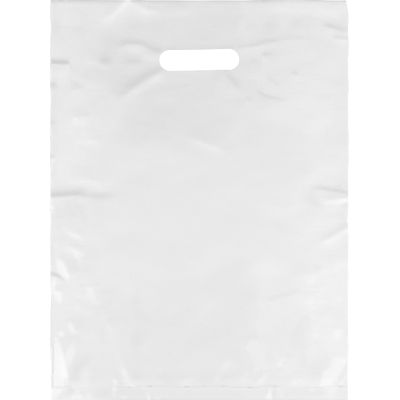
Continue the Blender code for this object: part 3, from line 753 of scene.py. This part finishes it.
def pattern(interior):
    """A wall while it is flat: its places, its triangles, and the numbers of the places on its lines."""
    places, edges, lines = [], [], {}

    def add_line(name, points, first=(), last=()):
        start = len(places)
        places.extend(points)
        numbers = [*first, *range(start, len(places)), *last]
        edges.extend(zip(numbers, numbers[1:]))
        lines[name] = numbers

    add_line("left", [(-EDGE_X, y) for y in ROWS])
    add_line("right", [(EDGE_X, y) for y in ROWS])
    for name, row in LINE_ROWS.items():
        inner = [(x, ROWS[row]) for x in COLUMNS[1:-1]]
        add_line(name, inner, first=[lines["left"][row]], last=[lines["right"][row]])
    add_line("slot", slot_outline(), last=[len(places)])  # ends where it began
    places.extend(map(tuple, interior))
    flat, _, faces, origins, _, _ = delaunay_2d_cdt([Vector(p) for p in places], edges, [], 0, SAME_PLACE)
    old_to_new = {old: new for new, olds in enumerate(origins) for old in olds}
    flat = np.array([tuple(p) for p in flat])
    faces = np.array([f for f in faces if len(f) == 3])
    middle = flat[faces].mean(axis=1)
    faces = faces[~in_slot(middle[:, 0], middle[:, 1], -RIM_MARGIN)]
    return flat, faces, {name: [old_to_new[i] for i in numbers] for name, numbers in lines.items()}


class Film:
    """The bag's mesh while it grows: groups of places, in metres, and faces."""

    def __init__(self):
        self.groups, self.faces = [], []

    def places(self):
        return np.vstack(self.groups)

    def add(self, places):
        """Adds a group of places and returns the number of its first."""
        first = sum(len(group) for group in self.groups)
        self.groups.append(places)
        return first

    def strip(self, one, other, turned=False):
        """Quads between two rows of places."""
        for a, b, c, d in zip(one, one[1:], other[1:], other):
            self.faces.append([d, c, b, a] if turned else [a, b, c, d])


class Wall:
    """The front or the back wall, added to the film with an outer and an inner face. The weld has no inner
    face."""

    def __init__(self, film, interior, height, front):
        flat, faces, self.lines = pattern(interior)
        u, v = flat[:, 0] / MM, flat[:, 1] / MM
        sideways, lengthways = outline_shift(u, v)
        if front:
            lengthways = lengthways - lip_setback(u, v)
        places = np.column_stack([u + sideways, v + lengthways, height(u, v)]) * MM
        self.outer = film.add(places)
        self.inner = film.add(places + [0, 0, -FILM_GAUGE if front else FILM_GAUGE])
        y = flat[faces].mean(axis=1)[:, 1]
        parted = faces[(y >= WELD_TOP_Y) | (y <= WELD_LOW_Y)]
        film.faces += ((faces if front else faces[:, ::-1]) + self.outer).tolist()
        film.faces += ((parted[:, ::-1] if front else parted) + self.inner).tolist()

    def line(self, name, outer):
        """The numbers of the places on one of the wall's lines, on its outer or its inner face."""
        first = self.outer if outer else self.inner
        return [i + first for i in self.lines[name]]

    def add_rim(self, film, name, turned):
        """Quads between the wall's two faces along one of its lines."""
        film.strip(self.line(name, outer=False), self.line(name, outer=True), turned)


def fold_arcs(film, front, back, side, outer):
    """A side fold's arcs: lines of places from the front wall round to the back wall."""
    name = "left" if side < 0 else "right"
    upper, lower = front.line(name, outer), back.line(name, outer)
    known = film.places()
    top, low = known[upper], known[lower]
    radius = SIDE_FOLD_RADIUS if outer else SIDE_FOLD_RADIUS - FILM_GAUGE
    bulge = radius * np.minimum(1.0, top[:, 2] / (2 * SIDE_FOLD_RADIUS))
    arcs = [upper]
    for step in range(1, FOLD_STEPS):
        turn = math.pi * step / FOLD_STEPS
        places = top + (low - top) * (1 - math.cos(turn)) / 2
        places[:, 0] += side * bulge * math.sin(turn)
        first = film.add(places)
        arcs.append(list(range(first, first + len(places))))
    return arcs + [lower]


def add_side_folds(film, front, back):
    """Both side folds, with their ends at the mouth, at the trimmed edge and in the weld."""
    weld_top, weld_low = LINE_ROWS["weld_top"], LINE_ROWS["weld_low"]
    for side in (-1, 1):
        outer = fold_arcs(film, front, back, side, outer=True)
        inner = fold_arcs(film, front, back, side, outer=False)
        for one, other in zip(outer, outer[1:]):
            film.strip(one, other, turned=side > 0)
        for one, other in zip(inner, inner[1:]):
            film.strip(one[: weld_top + 1], other[: weld_top + 1], turned=side < 0)
            film.strip(one[weld_low:], other[weld_low:], turned=side < 0)
        for end in (LINE_ROWS["mouth"], LINE_ROWS["trim"]):
            ends = [arc[end] for arc in outer], [arc[end] for arc in inner]
            film.strip(*ends, turned=(side < 0) != (end > 0))
        for row, turned in ((weld_top, side > 0), (weld_low, side < 0)):
            ring = [arc[row] for arc in inner]
            film.faces.append(ring[::-1] if turned else ring)


def add_edges(film, front, back):
    """The lips, the trimmed edges, both sides of the weld, and the slot's rims."""
    for name, turned in (("mouth", False), ("trim", True)):
        front.add_rim(film, name, turned=not turned)
        back.add_rim(film, name, turned=turned)
    for name, turned in (("weld_top", False), ("weld_low", True)):
        film.strip(front.line(name, outer=False), back.line(name, outer=False), turned=turned)
    front.add_rim(film, "slot", turned=True)
    back.add_rim(film, "slot", turned=False)


def in_scene(name, data):
    made = bpy.data.objects.new(name, data)
    bpy.context.scene.collection.objects.link(made)
    return made


def build_film():
    """The whole bag as one closed film. Its places keep their cling and painted light, weld shade and slack.
    """
    film = Film()
    front = Wall(film, front_places(), front_height, front=True)
    back = Wall(film, clear_of_lines(staggered(BACK_STEP), EDGE_STEP), back_height, front=False)
    add_side_folds(film, front, back)
    add_edges(film, front, back)

    places = film.places()
    mesh = bpy.data.meshes.new("carrier_bag_film")
    mesh.from_pydata(places.tolist(), [], film.faces)
    u, v = places[:, 0] / MM, places[:, 1] / MM
    kept = {"cling_shade_and_highlight": cling_and_painted_light(u, v), "weld": weld_strength(u), "slack": slackness(u, v)}
    for name, values in kept.items():
        layer = mesh.attributes.new(name, "FLOAT", "POINT")
        layer.data.foreach_set("value", values.astype(np.float32))
    mesh.shade_smooth()
    mesh.set_sharp_from_angle(angle=math.radians(SHARP_ANGLE))
    return in_scene("carrier_bag_film", mesh)


class Tree:
    """The node tree of a material or a world, with short ways to add to it."""

    def __init__(self, owner, shader):
        owner.use_nodes = True
        self.nodes, self.links = owner.node_tree.nodes, owner.node_tree.links
        self.shader = self.nodes[shader]

    def feed(self, socket, value):
        """Links an output to the socket, or sets the socket to a number."""
        if isinstance(value, (int, float)):
            socket.default_value = value
        else:
            self.links.new(value, socket)

    def math(self, operation, *operands, clamp=False):
        made = self.nodes.new("ShaderNodeMath")
        made.operation, made.use_clamp = operation, clamp
        for socket, operand in zip(made.inputs, operands):
            self.feed(socket, operand)
        return made.outputs[0]

    def total(self, *shares):
        """The sum of each output times its share."""
        result = 0.0
        for output, share in shares:
            result = self.math("MULTIPLY_ADD", output, share, result)
        return result

    def ramp(self, output, low, high):
        """0 up to low, 1 from high on."""
        return self.math("DIVIDE", self.math("SUBTRACT", output, low), high - low, clamp=True)

    def place(self):
        """The place on the bag, in metres."""
        return self.nodes.new("ShaderNodeTexCoord").outputs["Object"]

    def axis(self, name):
        made = self.nodes.new("ShaderNodeSeparateXYZ")
        self.feed(made.inputs[0], self.place())
        return made.outputs[name]

    def attribute(self, name):
        made = self.nodes.new("ShaderNodeAttribute")
        made.attribute_name = name
        return made.outputs["Fac"]

    def noise(self, scale, stretch=(1, 1, 1), detail=2.0, offset=0.0):
        """Noise of about scale grains to the metre, more along an axis whose stretch is over 1."""
        mapping = self.nodes.new("ShaderNodeMapping")
        mapping.inputs["Location"].default_value = (offset, 0, 0)
        mapping.inputs["Scale"].default_value = [scale * s for s in stretch]
        self.feed(mapping.inputs["Vector"], self.place())
        made = self.nodes.new("ShaderNodeTexNoise")
        self.feed(made.inputs["Scale"], 1.0)
        self.feed(made.inputs["Detail"], detail)
        self.feed(made.inputs["Vector"], mapping.outputs[0])
        return made.outputs["Fac"]

    def uneven(self, *args, **kwargs):
        """The same noise, about zero."""
        return self.math("SUBTRACT", self.noise(*args, **kwargs), 0.5)


def weld_shade_line(film):
    """The weld's broken line of painted shade, stepping from one of the sealing bar's edges to the other."""
    step = film.math("MULTIPLY_ADD", film.uneven(32, (1, 0, 0), 0.0), 30.0, 0.5, clamp=True)
    middle = film.math("SUBTRACT", WELD_LINE_Y, film.math("MULTIPLY", step, WELD_LINE_STEP))
    away = film.math("DIVIDE", film.math("SUBTRACT", film.axis("Y"), middle), WELD_LINE_REACH)
    line = film.math("SUBTRACT", 1.0, film.math("ABSOLUTE", away), clamp=True)
    dashes = film.math("MULTIPLY_ADD", film.uneven(110, (1, 0, 0), 1.0, offset=3.0), 9.0, -0.3, clamp=True)
    dashes = film.math("ADD", film.math("MULTIPLY", dashes, 1.0 - FAINTEST_DASH), FAINTEST_DASH)
    return film.math("MULTIPLY", film.math("MULTIPLY", line, dashes), film.attribute("weld"))


def painted_shade_at_cut_ends(film):
    """Painted shade at the cut ends: a little darker, but for a stretch at one end of each cut."""
    x, y = film.axis("X"), film.axis("Y")
    trim = film.ramp(y, TRIM_Y + 2.3 * MM, TRIM_Y)
    trim = film.math("MULTIPLY", trim, film.ramp(x, -94 * MM, -84 * MM))
    lip = film.ramp(y, MOUTH_Y - 3.6 * MM, MOUTH_Y - 2.6 * MM)
    lip = film.math("MULTIPLY", lip, film.ramp(x, 74 * MM, 64 * MM))
    # Painted highlight: the back wall, where it shows above the front wall's lip, is whiter
    painted_light_behind = film.ramp(y, MOUTH_Y - 0.8 * MM, MOUTH_Y - 0.5 * MM)
    return film.total((trim, 1.8), (lip, 0.4), (painted_light_behind, -3.4))


def film_material():
    """White polyethylene film with a soft gloss, and cling, painted shade and painted highlights in its
    colour.
    """
    material = bpy.data.materials.new("white_film")
    film = Tree(material, "Principled BSDF")
    film.shader.inputs["IOR"].default_value = 1.5
    film.shader.inputs["Roughness"].default_value = 0.27

    # The colour: cling, painted shade and highlights, the weld's painted shade line, and random mottle and
    # grain
    shade = film.total(
        (film.math("ADD", film.attribute("cling_shade_and_highlight"), painted_shade_at_cut_ends(film)), -CLING_AND_PAINTED_SHADE),
        (weld_shade_line(film), -WELD_SHADE),
        (film.uneven(70, (0.7, 1.4, 1)), MOTTLE_SHADE),
        (film.uneven(650, (0.9, 1.1, 1)), GRAIN_SHADE),
    )
    tone = film.math("MULTIPLY", film.math("ADD", shade, 1.0), FILM_WHITE)
    color = film.nodes.new("ShaderNodeCombineColor")
    for socket in color.inputs[:3]:
        film.feed(socket, tone)
    film.feed(film.shader.inputs["Base Color"], color.outputs[0])

    wisps = film.math("MULTIPLY", film.noise(120, (0.5, 2.0, 1), 3.0), film.attribute("slack"))
    bump = film.nodes.new("ShaderNodeBump")
    film.feed(bump.inputs["Distance"], 1.0)
    film.feed(bump.inputs["Height"], film.total((wisps, WISP_HEIGHT), (film.noise(700), GRAIN_HEIGHT)))
    film.feed(film.shader.inputs["Normal"], bump.outputs[0])
    return material


def seen_directly(tree):
    """1 for rays from the camera, mirror rays and rays through glass, and 0 for all others."""
    path = tree.nodes.new("ShaderNodeLightPath").outputs
    total = tree.math("MAXIMUM", path["Is Camera Ray"], path["Is Glossy Ray"])
    return tree.math("MAXIMUM", total, path["Is Transmission Ray"])


def floor_material():
    """A white floor that the camera sees as white, apart from the bag's shadow."""
    material = bpy.data.materials.new("floor_white")
    floor = Tree(material, "Principled BSDF")
    floor.shader.inputs["Base Color"].default_value = (0.9, 0.9, 0.9, 1)
    floor.shader.inputs["Roughness"].default_value = 0.9
    floor.shader.inputs["Specular IOR Level"].default_value = 0.0
    glow = floor.math("MULTIPLY", seen_directly(floor), FLOOR_GLOW)
    floor.feed(floor.shader.inputs["Emission Strength"], glow)
    return material


def build_floor():
    """A square floor just below the bag."""
    side = FLOOR_WIDTH / 2
    mesh = bpy.data.meshes.new("floor")
    corners = [(-side, -side, 0), (side, -side, 0), (side, side, 0), (-side, side, 0)]
    mesh.from_pydata(corners, [], [(0, 1, 2, 3)])
    floor = in_scene("floor", mesh)
    floor.location.z = -FLOOR_CLEARANCE
    floor.data.materials.append(floor_material())


def build_world():
    """A white surround, which the camera sees at full strength and which lights the bag at less."""
    world = bpy.data.worlds.new("studio")
    bpy.context.scene.world = world
    sky = Tree(world, "Background")
    sky.shader.inputs["Color"].default_value = (1, 1, 1, 1)
    strength = sky.math("MULTIPLY_ADD", seen_directly(sky), 1.0 - WORLD_LIGHT, WORLD_LIGHT)
    sky.feed(sky.shader.inputs["Strength"], strength)


def area_light(name, place, target, size, power):
    """A rectangular lamp at place that faces target and isn't seen."""
    data = bpy.data.lights.new(name, "AREA")
    data.shape = "RECTANGLE"
    data.size, data.size_y = size
    data.energy = power
    lamp = in_scene(name, data)
    lamp.location = place
    lamp.rotation_euler = (Vector(target) - Vector(place)).to_track_quat("-Z", "Y").to_euler()
    lamp.visible_camera = False
    return lamp


def build_lamps():
    """One broad, low light from the picture's bottom, as in the photo, and a soft one on each side."""
    key = area_light("key_low", (0.8, -5.8, 3.7), target=(0, 0, 0), size=(5.6, 2.2), power=196.0)
    key.visible_glossy = False  # the film shows no glare of it from behind
    area_light("side_left", (-1.15, -0.45, 1.75), target=(-0.1, -0.1, 0), size=(0.8, 0.8), power=9.0)
    area_light("side_right", (1.15, -0.60, 1.75), target=(0.1, -0.1, 0), size=(0.8, 0.8), power=10.0)


def build_camera():
    """A camera that looks straight down on the bag."""
    data = bpy.data.cameras.new("camera")
    data.sensor_width = 36.0
    data.lens = data.sensor_width * CAMERA_PLACE[2] / PICTURE_WIDTH
    data.clip_start, data.clip_end = 0.05, 20.0
    camera = in_scene("camera", data)
    camera.location = CAMERA_PLACE
    bpy.context.scene.camera = camera


film = build_film()
film.data.materials.append(film_material())
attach(film, "root")
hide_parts("carrier_bag")

build_floor()
build_world()
build_lamps()
build_camera()
bpy.context.scene.view_settings.view_transform = "Standard"
